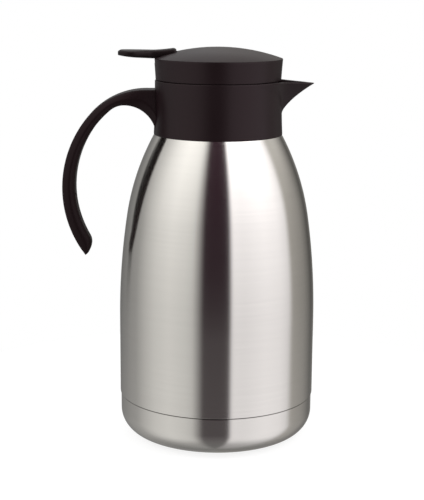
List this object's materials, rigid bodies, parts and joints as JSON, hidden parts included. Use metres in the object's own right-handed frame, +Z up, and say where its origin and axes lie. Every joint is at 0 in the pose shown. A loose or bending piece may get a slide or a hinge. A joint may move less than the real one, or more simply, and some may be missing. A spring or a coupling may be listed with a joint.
{
  "type": "vacuum carafe",
  "caption": "Double-walled brushed steel vacuum carafe with a dark plastic collar, spout and handle, and a screw-in lid whose thumb lever opens a sprung pouring valve.",
  "frame": {"origin": "centre of the foot pad's underside, on the flask's axis, where the carafe rests", "axes": "+Z up along the flask's axis, +X towards the spout, handle on the -X side"},
  "size_m": [0.1756, 0.1366, 0.2715],
  "materials": {
    "steel": "circumferentially brushed",
    "inner_steel": "plain drawn steel",
    "brown_plastic": "satin moulded",
    "dark_plastic": "satin moulded",
    "pale_plastic": "smooth",
    "silicone": "soft",
    "pad_rubber": "matt",
    "foam": "open foam",
    "screw_steel": "bright",
    "getter_metal": "sintered"
  },
  "bodies": {
    "flask": {"outer_shell": "steel", "base_cup": "steel", "inner_shell": "inner_steel", "inner_floor": "inner_steel", "vacuum_plate": "inner_steel", "getter": "getter_metal", "evacuation_seal": "getter_metal", "foot_pad": "pad_rubber", "collar": "brown_plastic", "threaded_ring": "dark_plastic", "neck_seal": "silicone", "handle": "brown_plastic", "handle_insert": "dark_plastic", "handle_screws": "screw_steel"},
    "stopper_ring": {"stopper_seal": "silicone"},
    "lid": {"lid_body": "brown_plastic", "lid_cover": "brown_plastic", "stopper_body": "dark_plastic", "stopper_insulation": "foam", "stopper_bottom": "dark_plastic", "lid_screws": "screw_steel", "stem_gasket": "silicone", "lever_pin": "screw_steel"},
    "lever": {"thumb_lever": "dark_plastic"},
    "valve": {"valve_stem": "pale_plastic", "valve_seal": "silicone", "stem_cap": "pale_plastic", "valve_spring": "screw_steel"}
  },
  "joints": [
    {"name": "lid_lift", "type": "slide", "parent": "flask", "child": "stopper_ring", "axis": [0, 0, 1], "range_m": [0, 0.048]},
    {"name": "lid_turn", "type": "hinge", "parent": "stopper_ring", "child": "lid", "pos_m": [0, 0, 0.2394], "axis": [0, 0, 1], "range_deg": [0, 1080]},
    {"name": "lever_press", "type": "hinge", "parent": "lid", "child": "lever", "pos_m": [-0.033, 0, 0.26357], "axis": [0, -1, 0], "range_deg": [0, 11], "stiffness_Nm_per_rad": 0.03, "springref_deg": -17.19},
    {"name": "valve_lift", "type": "slide", "parent": "lid", "child": "valve", "axis": [0, 0, 1], "range_m": [0, 0.00634], "deforming": ["valve_spring"]}
  ],
  "couplings": [
    {"joint": "lid_turn", "follows": "lid_lift", "rad_per_m": 392.7},
    {"joint": "lever_press", "follows": "valve_lift", "rad_per_m": 30.303}
  ]
}
